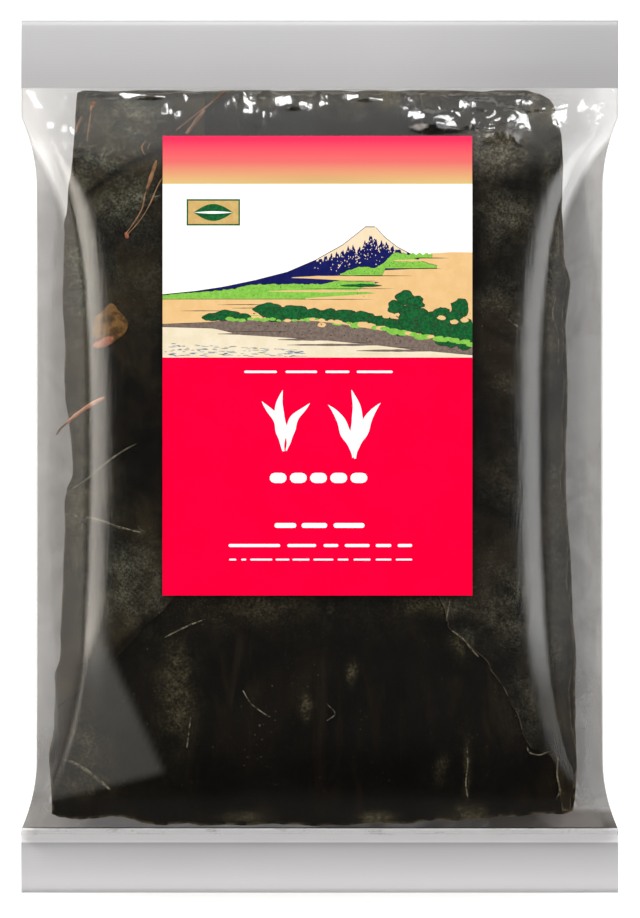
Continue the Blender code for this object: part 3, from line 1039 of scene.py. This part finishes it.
def round_outline(corners, seed, steps=6, uneven=0.35):
    """A closed outline through corners in millimetres, a little uneven."""
    count, outline = len(corners), []
    for index in range(count):
        a, b, c, d = (Vector(corners[(index + k) % count]) for k in (-1, 0, 1, 2))
        for step in range(steps):
            point = catmull_rom(a, b, c, d, step / steps)
            shift = [noise.noise(Vector((point.x * 0.9, point.y * 0.9, seed + apart))) for apart in (0, 20)]
            outline.append((point.x + uneven * shift[0], point.y + uneven * shift[1]))
    return outline


# ---------------------------------------------------------------- the label

LABEL_WIDTH = LABEL_HIGH.x - LABEL_LOW.x
LABEL_LENGTH = LABEL_HIGH.y - LABEL_LOW.y
LABEL_GAP = 0.3 * MM
PAPER_THICKNESS = 0.3 * MM
PAPER_CELL = 5 * MM
RED_TOP = 103.2 * MM
BAND_BOTTOM = 178.5 * MM


class Artwork:
    """Outlines on the label in label coordinates, each with the ink that fills it. Later ones cover earlier."""

    def __init__(self):
        self.shapes = []

    def add(self, ink, outline):
        """Outline points are in millimetres from the label's lower left corner."""
        wide, long = LABEL_WIDTH / MM, LABEL_LENGTH / MM
        kept = [(min(max(x, 0), wide), min(max(y, 0), long)) for x, y in outline]
        cleaned = [p for i, p in enumerate(kept) if math.dist(p, kept[i - 1]) > 0.05]
        area = sum(a[0] * b[1] - b[0] * a[1] for a, b in zip(cleaned, cleaned[1:] + cleaned[:1]))
        if len(cleaned) > 2 and abs(area) > 0.01:
            self.shapes.append((ink, cleaned if area > 0 else cleaned[::-1]))

    def box(self, ink, x0, y0, x1, y1):
        self.add(ink, [(x0, y0), (x1, y0), (x1, y1), (x0, y1)])

    def bar(self, ink, x0, x1, y, height, ends=5):
        """A bar with round ends."""
        r = height / 2
        turns = [math.pi * step / ends for step in range(ends + 1)]
        right = [(x1 - r + r * math.sin(a), y - r * math.cos(a)) for a in turns]
        left = [(x0 + r - r * math.sin(a), y + r * math.cos(a)) for a in turns]
        self.add(ink, right + left)

    def blob(self, ink, cx, cy, rx, ry, seed, points=18, uneven=0.25):
        self.add(ink, blob_outline(cx, cy, rx, ry, seed, points, uneven))

    def strip(self, ink, xs, low, high):
        """The field between two functions of x."""
        self.add(ink, [(x, low(x)) for x in xs] + [(x, high(x)) for x in reversed(xs)])

    def streak(self, ink, x0, x1, y, height, seed):
        """A long thin lens, pointed at both ends."""
        xs = [x0 + (x1 - x0) * step / 14 for step in range(15)]

        def thick(x):
            share = (x - x0) / (x1 - x0)
            ragged = 1 + 0.5 * noise.noise(Vector((x * 0.35, y, seed)))
            return height * math.sin(math.pi * min(max(share, 0.02), 0.98)) ** 0.6 * ragged / 2

        self.strip(ink, xs, lambda x: y - thick(x) * 0.7, lambda x: y + thick(x))


# The picture's outlines, in millimetres from the label's lower left corner.
MOUNTAIN = ((0, 130.4), (14, 131.8), (26, 133.6), (40, 136.5), (54, 140.1), (66, 145.2), (78, 151.9),
            (84.5, 157), (88, 159.8), (92.3, 159.8), (96.5, 155.2), (102, 150.9), (108, 147.8), (113, 146),
            (120, 145))
SNOW_LINE = ((66, 145.4), (72, 146.6), (78, 148.6), (82, 151.2), (84.5, 149.2), (87.5, 152.4), (90.8, 155.8),
             (93.5, 152.2), (96, 153), (99, 150.6), (103, 150.4), (106, 149))
SHORE_TOP = ((0, 117.8), (16, 118.4), (34, 119.4), (66, 119), (90, 116.2), (110, 112), (134.3, 108.4))
SHORE_LOW = ((0, 116.6), (22, 116), (34, 113.2), (66, 111.2), (90, 109), (112, 106.4), (134.3, 104.4))

# Tree crowns by the shore: centre x and y, half width and half height.
TREES = (
    (22, 120.8, 4, 1.5), (28, 121.4, 5, 2.1), (34, 120.6, 4, 1.5), (46, 124, 5.6, 2.9), (50, 122, 6, 3),
    (57, 122.6, 6.6, 2.7), (65, 121.8, 6.4, 2.7), (72, 121.6, 5.6, 2.5), (79, 121, 6.2, 2.6),
    (87, 120, 6.4, 2.8), (94, 118.6, 6, 2.8), (101, 125.2, 3.4, 2.8), (105, 128.8, 4, 3.2),
    (110, 127, 3.4, 2.6), (107.4, 122.6, 5, 3.2), (101, 116.6, 6, 3.6), (110, 119.2, 7.4, 5.6),
    (117, 117, 7, 6), (124, 114.8, 7, 6), (131, 113, 6, 6.4), (121, 122.6, 3.6, 2.4),
    (129, 124.4, 4, 3.4), (126, 120, 4, 3),
)


def outline_height(line):
    """The height of a line of points as a function of x."""
    xs, ys = [point[0] for point in line], [point[1] for point in line]
    return lambda x: float(np.interp(x, xs, ys))


def wavy(base, size, length, seed):
    """A function of x with uneven waves added to it."""
    return lambda x: base(x) + size * noise.fractal(Vector((x / length, seed, seed * 0.7)), 1, 2, 3)


def spaced(x0, x1, step=1.6):
    count = max(int((x1 - x0) / step), 2)
    return [x0 + (x1 - x0) * index / count for index in range(count + 1)]


def draw_mountain(art):
    """A dark mountain with a plain pale cap that ends in a zigzag."""
    top = outline_height(MOUNTAIN)
    snow = outline_height(SNOW_LINE)

    def teeth(x):
        return snow(x) + 1.1 * math.sin(x * 2.6) + 0.6 * math.sin(x * 6.1 + 1)

    art.strip("line", spaced(0, 120, 1.0), lambda x: 129.0, lambda x: top(x) + 0.25)
    art.strip("navy", spaced(0, 120, 1.0), lambda x: 128.8, top)
    xs = [x for x in spaced(66, 106, 0.35) if top(x) - 0.2 > teeth(x)]
    art.strip("cream", xs, teeth, lambda x: top(x) - 0.1)
    rng = random.Random(5)
    for _ in range(170):
        x = rng.gauss(88, 10)
        y = snow(x) - rng.expovariate(0.3) - 0.6
        if 62 < x < 106 and 140 < y < top(x) - 0.8:
            size = rng.uniform(0.14, 0.28)
            art.add("cream", [(x - size, y), (x, y - size * 1.6), (x + size, y), (x, y + size * 1.6)])


def speckles(art, ink, count, x0, x1, low, high, seed, size=0.2):
    """Short dark dashes strewn over a field."""
    rng = random.Random(seed)
    for _ in range(count):
        x = rng.uniform(x0, x1)
        y = rng.uniform(low(x), high(x))
        half = size * rng.uniform(0.6, 1.6)
        art.add(ink, [(x - half, y), (x, y - half * 0.5), (x + half, y + 0.1), (x, y + half * 0.6)])


def draw_hills(art):
    """Long low hills in green and sand, each ending in pointed stripes."""
    wide = LABEL_WIDTH / MM
    art.box("sand", 0, 104, wide, 129)
    low_hill = outline_height(((0, 130.2), (14, 131.4), (24, 132.2), (32, 133.2), (38, 134.8), (52, 135),
                               (70, 135), (78, 137), (84, 136.4), (92, 136)))
    ragged = wavy(low_hill, 0.5, 1.6, 4.0)
    art.strip("line", spaced(0, 92, 0.8), lambda x: 128.4, lambda x: ragged(x) + 0.2)
    art.strip("leaf", spaced(0, 92, 0.8), lambda x: 128.6, ragged)
    art.add("sand", [(wide, 104), (wide, 148.8), (125, 148.9), (116.5, 148.4), (110, 145.4), (117, 142),
                     (96, 141), (95, 138.9), (78, 138.9), (60, 137.6), (94, 135.8), (84, 132.6), (92, 131),
                     (62, 128.9), (62, 120)])
    rise_up = outline_height(((77, 139.4), (81, 141.2), (86, 142.6), (92, 141.9), (96, 144.4), (100, 148.4),
                              (104, 148.6), (109, 146.4), (113, 144.6), (119, 143)))
    hill_top = wavy(rise_up, 0.5, 1.8, 7.0)
    hill_low = outline_height(((77, 138.9), (95.4, 138.9), (96.4, 141.9), (119, 142)))
    art.strip("line", spaced(77, 119, 0.7), lambda x: hill_low(x) - 0.25, lambda x: hill_top(x) + 0.2)
    art.strip("leaf", spaced(77, 119, 0.7), hill_low, hill_top)
    art.strip("leaf", spaced(107, 117, 0.7), lambda x: 146.2, lambda x: 148.2 + 0.5 * math.sin(x * 2.1))
    speckles(art, "tree", 60, 30, 90, lambda x: 129.6, lambda x: low_hill(x) - 0.8, 2)
    speckles(art, "tree", 60, 79, 112, lambda x: hill_low(x) + 0.6, lambda x: rise_up(x) - 0.8, 6)
    for x0, x1, y, height, ink in (
            (56, 108, 137.8, 1.7, "sand"), (46, 94, 131.9, 1.2, "sand"), (77, 95, 134.3, 1.6, "tree"),
            (60, 74, 130.4, 0.8, "leaf"), (100, 116, 145.2, 1.0, "sand"), (106, 124, 146.3, 0.4, "line"),
            (98, 121, 141.7, 0.35, "line"), (72, 108, 138.6, 0.35, "line"), (76, 94, 136.3, 0.3, "line"),
            (60, 102, 133, 0.3, "line"), (24, 48, 126.1, 0.35, "line"), (30, 54, 124.6, 0.5, "tree"),
            (8, 26, 123.4, 0.35, "line"), (16, 44, 121.4, 0.5, "leaf"), (58, 92, 128.4, 0.3, "line")):
        art.streak(ink, x0, x1, y, height, x0 * 0.1)


def clump(art, x, y, wide, tall, seed):
    """A round tree crown: a dark rim and the green in it."""
    art.blob("line", x, y, wide + 0.3, tall + 0.3, seed, 22, 0.3)
    art.blob("tree", x, y, wide, tall, seed, 22, 0.3)


def draw_trees(art):
    """The brown shore, with round trees and low bushes along its top."""
    rng = random.Random(23)
    top, low = outline_height(SHORE_TOP), outline_height(SHORE_LOW)
    art.strip("line", spaced(0, 134.3), lambda x: low(x) - 0.2, top)
    art.strip("shore", spaced(0, 134.3, 1.0), low, wavy(top, 0.4, 6, 8.0))
    for x0, x1, y in ((22, 60, 115.2), (34, 70, 112.4), (58, 96, 110.4), (72, 118, 108.2), (98, 134.3, 105.4)):
        art.streak("shore", x0, x1, y, 1.7, x0)
        art.streak("line", x0 + 1, x1 - 4, y - 0.7, 0.25, x0)
    for x, y, wide, tall in TREES:
        clump(art, x, y, wide, tall, x + y)
    speckles(art, "line", 90, 20, 134, lambda x: 119.4 - max(x - 80, 0) * 0.14, lambda x: 122.4, 9, 0.35)
    speckles(art, "line", 60, 100, 133, lambda x: 111, lambda x: 121.5, 12, 0.4)
    for index in range(44):
        x = 28 + 106 * index / 43 + rng.uniform(-1, 1)
        y = top(x) + rng.uniform(-0.2, 0.9) + (0.4 if x > 90 else 0)
        size = rng.uniform(0.7, 1.5) * (1.3 if x > 84 else 0.8)
        art.blob("leaf" if rng.random() < 0.72 else "sand", x, y, size * 1.6, size * 0.75, x * 3, 12)
    for x, y in ((121, 120.4), (126.5, 118.6), (131, 119.4), (97, 121.2), (88, 117.2), (69, 117.4),
                 (76, 118.6)):
        art.blob("sand", x, y, 1.9, 1.0, x * 2, 12)
    speckles(art, "line", 60, 40, 132, lambda x: low(x) + 0.6, lambda x: top(x) - 0.8, 14, 0.35)


def draw_water(art):
    """Pale water with spits of shore and a few short wave strokes."""
    wide = LABEL_WIDTH / MM
    low = outline_height(SHORE_LOW)
    art.strip("water", spaced(0, wide), lambda x: RED_TOP / MM, lambda x: low(x) - 0.2)
    for x0, x1, y in ((40, 62, 113.4), (66, 80, 110.9), (70, 98, 108.6), (100, 120, 106.1)):
        art.streak("shore", x0 - 16, x1, y, 1.2, x0)
    rng = random.Random(8)
    for _ in range(120):
        x = rng.uniform(0, 60)
        y = rng.uniform(103.6, 109.6 - 0.055 * x)
        ink = rng.choice(("wave", "wave", "navy_line"))
        art.streak(ink, x, x + rng.uniform(1.2, 3.8), y, rng.uniform(0.2, 0.45), x)


def draw_mark(art):
    """A plain emblem: a framed sand panel with a green leaf."""
    art.box("tree", 10.4, 160.4, 33.6, 171.9)
    art.box("gold", 11.1, 161.1, 32.9, 171.2)
    middle = (22, 166.1)
    for ink, length, height in (("tree", 8.6, 3.7), ("white", 8.6, 0.55)):
        turns = np.linspace(0, 1, 14)
        above = [(middle[0] - length + 2 * length * t, middle[1] + height * math.sin(math.pi * t))
                 for t in turns]
        below = [(middle[0] - length + 2 * length * t, middle[1] - height * math.sin(math.pi * t))
                 for t in turns[::-1][1:-1]]
        art.add(ink, above + below)


def smooth_step(value):
    return float(smooth(value))


def frond(art, foot, tip, bend, width, seed):
    """A kelp blade in one stroke: a thin stem that widens to a wavy blade and ends in a point."""
    steps = 26
    run = Vector(tip) - Vector(foot)
    side = Vector((-run.y, run.x)).normalized()
    left, right = [], []
    for step in range(steps + 1):
        t = step / steps
        middle = Vector(foot) + run * t + side * (bend * math.sin(math.pi * t) + 0.5 * math.sin(t * 8 + seed))
        thick = width * (0.13 + 0.87 * smooth_step(t / 0.45)) * (1 - t ** 3.2) / 2 + 0.05
        ruffle = 0.35 * math.sin(t * 17 + seed * 3) * smooth_step(t / 0.3) * (1 - t)
        left.append(tuple(middle + side * (thick + ruffle)))
        right.append(tuple(middle - side * (thick - ruffle)))
    art.add("white", left + right[::-1])


# Rows of plain bars where a pack has small print: height, bar thickness, then where each bar starts and ends.
PRINT_ROWS = (
    (97.0, 1.0, (35.4, 49.6), (53.3, 67.0), (70.6, 81.0), (84.2, 99.8)),
    (30.4, 2.1, (48.5, 58.0), (60.2, 71.4), (74.1, 87.6)),
    (21.7, 1.3, (28.6, 51.0), (54.1, 66.6), (69.8, 76.2), (79.0, 89.8), (92.4, 99.2), (101.9, 108.2)),
    (15.6, 0.75, (28.9, 32.0), (34.1, 36.3), (38.0, 47.6), (49.0, 55.0), (56.3, 63.7), (65.4, 74.1),
     (75.9, 80.6), (82.8, 90.2), (92.4, 99.2), (101.1, 108.2)),
)


def draw_red_field(art):
    """The red field with two plain kelp motifs, five blocks and the rows of bars."""
    art.box("red", 0, 0, LABEL_WIDTH / MM, RED_TOP / MM)
    for foot, tip, bend, width, seed in (
            ((52.4, 62.8), (43.4, 84.4), -2.4, 4.6, 0.4), ((53.0, 62.6), (51.8, 89.0), 1.6, 5.2, 1.9),
            ((53.6, 62.8), (63.4, 83.6), 2.4, 4.4, 3.1),
            ((82.2, 59.6), (71.6, 82.6), -2.6, 4.8, 4.2), ((83.0, 59.4), (82.2, 89.2), -1.8, 5.6, 5.2),
            ((83.8, 59.6), (94.8, 83.4), 2.6, 4.8, 0.9)):
        frond(art, foot, tip, bend, width, seed)
    for index in range(5):
        x = 46.4 + 8.75 * index
        art.bar("white", x, x + 7.4, 51.0, 4.4)
    for y, thickness, *bars in PRINT_ROWS:
        for x0, x1 in bars:
            art.bar("white", x0, x1, y, thickness)


def draw_label():
    """All fields of the label, with the ink of each, from the lowest to the uppermost."""
    art = Artwork()
    draw_mountain(art)
    draw_hills(art)
    draw_trees(art)
    draw_water(art)
    draw_mark(art)
    draw_red_field(art)
    art.box("band", 0, BAND_BOTTOM / MM, LABEL_WIDTH / MM, LABEL_LENGTH / MM)
    return art.shapes


def ink_materials():
    """The inks by name: each has a colour, a second one that it varies to, and the grain of that."""
    band = band_material(LABEL_LOW.y + BAND_BOTTOM, LABEL_HIGH.y)
    plain = {
        "paper": ((255, 255, 255), None, 120), "white": ((255, 255, 255), None, 120),
        "red": ((255, 1, 61), (255, 0, 58), 60), "navy": ((30, 34, 98), (24, 28, 90), 300),
        "cream": ((247, 228, 198), (244, 224, 190), 200), "sand": ((242, 202, 144), (238, 196, 136), 160),
        "leaf": ((146, 208, 86), (126, 192, 74), 900), "tree": ((34, 106, 58), (24, 84, 44), 900),
        "shore": ((132, 117, 108), (116, 102, 94), 700), "line": ((48, 46, 42), (66, 62, 54), 400),
        "water": ((246, 234, 208), (240, 228, 198), 150), "wave": ((146, 168, 190), (112, 136, 164), 500),
        "navy_line": ((62, 78, 112), None, 200), "gold": ((214, 182, 118), (206, 172, 108), 300),
    }
    inks = {name: print_material(f"print_{name}", srgb(*colour), second and srgb(*second), grain)
            for name, (colour, second, grain) in plain.items()}
    inks["band"] = band
    return inks


def build_label():
    """One paper sheet cut into fields of ink, each field its own faces, bent over the film."""
    shapes = draw_label()
    inks = ink_materials()
    names = list(inks)
    wide, long = LABEL_WIDTH / MM, LABEL_LENGTH / MM
    cell = PAPER_CELL / MM
    points, polygons = [], []
    for px in np.linspace(0, wide, round(wide / cell) + 1):
        for py in np.linspace(0, long, round(long / cell) + 1):
            points.append(Vector((px, py)))
    for _, outline in shapes:
        polygons.append(list(range(len(points), len(points) + len(outline))))
        points += [Vector(p) for p in outline]
    flat, _, faces, _, _, inside = geometry.delaunay_2d_cdt(points, [], polygons, 0, 1e-4, True)
    kinds = [names.index(shapes[max(owners)][0]) if owners else 0 for owners in inside]
    x = np.array([p.x for p in flat]) * MM + LABEL_LOW.x
    y = np.array([p.y for p in flat]) * MM + LABEL_LOW.y
    z = front_height(x, y) + LABEL_GAP + PAPER_THICKNESS
    piece = add_mesh("label_sheet", np.stack([x, y, z], axis=1), faces, list(inks.values()), kinds)
    mesh = bmesh.new()
    mesh.from_mesh(piece.data)
    bmesh.ops.recalc_face_normals(mesh, faces=mesh.faces[:])
    if sum(face.normal.z for face in mesh.faces) < 0:
        bmesh.ops.reverse_faces(mesh, faces=mesh.faces[:])
    mesh.to_mesh(piece.data)
    mesh.free()
    solid = piece.modifiers.new("paper", "SOLIDIFY")
    solid.thickness = PAPER_THICKNESS
    solid.offset = -1
    apply_modifiers(piece)
    piece.data.set_sharp_from_angle(angle=math.radians(40))
    return place(piece, "label_paper", "label")


# ---------------------------------------------------------------- stage, lights and camera

FRAME_HEIGHT = 399.6 * MM    # what the picture's height covers at the seam's level
CAMERA_HEIGHT = 5.0
CAMERA_CENTRE = (0.1 * MM, -1.1 * MM)
SENSOR = 36.0


def add_floor():
    half = 3.0
    floor = add_mesh("floor", [(-half, -half, 0), (half, -half, 0), (half, half, 0), (-half, half, 0)],
                     [(0, 1, 2, 3)], [floor_material()])
    floor.location.z = -0.0004


# The studio's soft lights: which way each leans from overhead, its tint and strength, then in degrees the
# centre, half width and soft edge of that lean, and the centre, half width and soft edge across it.
NEUTRAL, WARM = (1, 1, 1), (1, 0.93, 0.84)
LAMPS = (
    ("side", WARM, 1.05, -72, 22, 12, 0, 50, 20),
    ("side", NEUTRAL, 0.50, 72, 22, 12, 0, 50, 20),
    ("side", WARM, 4.0, -23, 4, 11, 8, 14, 14),
    ("side", WARM, 1.2, -24, 1, 2.5, 8, 14, 14),
    ("side", NEUTRAL, 3.4, 23, 4.5, 10, 8, 16, 14),
    ("ahead", NEUTRAL, 0.85, 58, 20, 22, 0, 45, 20),
    ("ahead", NEUTRAL, 15.0, 53, 8, 2, 20, 8, 2),
    ("ahead", NEUTRAL, 20.0, 74, 10, 2, -20, 9, 2),
    ("ahead", NEUTRAL, 0.7, -70, 22, 10, 0, 50, 20),
)
OVERHEAD = 0.006
STUDIO_STRENGTH = 0.86


def add_world():
    """A studio that is dark overhead, so that the film stays clear, with soft lights around."""
    world = bpy.data.worlds.new("studio")
    bpy.context.scene.world = world
    n = Nodes(world, "Generated")
    split = n.add("SeparateXYZ", Vector=n.coords)
    parts = dict(zip("xyz", split.outputs))
    lean = {"side": ("x", "y"), "ahead": ("y", "x")}
    total = (OVERHEAD, OVERHEAD, OVERHEAD)
    for way, tint, strength, centre, half, soft, across_centre, across_half, across_soft in LAMPS:
        towards, across = lean[way]
        angle = n.math("ARCTAN2", parts[towards], parts["z"])
        aside = n.math("ARCSINE", parts[across])
        share = strength
        for turned, middle, reach, edge in (
                (angle, centre, half, soft), (aside, across_centre, across_half, across_soft)):
            off = n.math("ABSOLUTE", n.math("SUBTRACT", turned, math.radians(middle)))
            inside = n.step(off, math.radians(reach), math.radians(reach + edge), 1.0, 0.0)
            share = n.times(inside, share)
        tinted = n.add("VectorMath", {"operation": "SCALE"}, _0=tint, Scale=share).outputs[0]
        total = n.add("VectorMath", {"operation": "ADD"}, _0=tinted, _1=total).outputs[0]
    light = n.add("Background", Color=total, Strength=STUDIO_STRENGTH)
    n.finish(light, "OutputWorld")


def add_camera():
    data = bpy.data.cameras.new("camera")
    data.sensor_fit = "AUTO"
    data.sensor_width = SENSOR
    data.lens = SENSOR * (CAMERA_HEIGHT - SEAM_HEIGHT) / FRAME_HEIGHT
    data.clip_end = 20
    camera = bpy.data.objects.new("camera", data)
    camera.location = (*CAMERA_CENTRE, CAMERA_HEIGHT)
    bpy.context.scene.collection.objects.link(camera)
    bpy.context.scene.camera = camera


def main():
    scene = bpy.context.scene
    scene.view_settings.view_transform = "Standard"
    add_camera()
    add_world()
    add_floor()

    black = srgb(8, 7, 5)
    bloom, olive_bloom, warm_bloom = srgb(124, 120, 102), srgb(116, 116, 98), srgb(112, 104, 78)
    top_look = kelp_material("kelp_dark", black, srgb(16, 13, 9), warm_bloom, (0.3, 0.1, 0))
    flap_look = kelp_material("kelp_brown", black, srgb(30, 25, 17), bloom, (0.7, 0.4, 0))
    left_look = kelp_material("kelp_olive", black, srgb(42, 35, 22), olive_bloom, (1.3, 0.9, 0))
    inner_look = kelp_material("kelp_inner", srgb(22, 17, 12), srgb(52, 40, 26), bloom, (2.1, 1.7, 0))

    build_inner_sheets([inner_look, flap_look, top_look])
    build_top_sheet(top_look)
    build_right_flap(flap_look)
    build_left_flap(left_look)
    flaked = srgb(26, 22, 15)
    rib_looks = {
        "tan": rib_material("stem_tan", srgb(108, 76, 50), srgb(142, 106, 74)),
        "edge": rib_material("stem_edge", srgb(124, 92, 64), srgb(160, 124, 92)),
        "dim": rib_material("stem_dim", srgb(88, 64, 48), srgb(116, 88, 68)),
        "pink": rib_material("stem_pink", srgb(146, 98, 76), srgb(172, 128, 102)),
        "pale": rib_material("torn_pale", srgb(78, 74, 60), srgb(122, 116, 96), flaked),
        "amber": rib_material("scrap_amber", srgb(66, 46, 20), srgb(116, 84, 42)),
        "rose": rib_material("scrap_rose", srgb(142, 84, 62), srgb(164, 104, 78)),
    }
    build_ribs(rib_looks)
    build_scrap("kelp_scrap_amber", rib_looks["amber"], round_outline(AMBER_SCRAP, 3.0), 3.4)
    build_scrap("kelp_scrap_rose", rib_looks["rose"], round_outline(ROSE_SCRAP, 5.0), 6.1, 0.9)
    build_film([film_material(), seal_material()])
    build_label()


main()
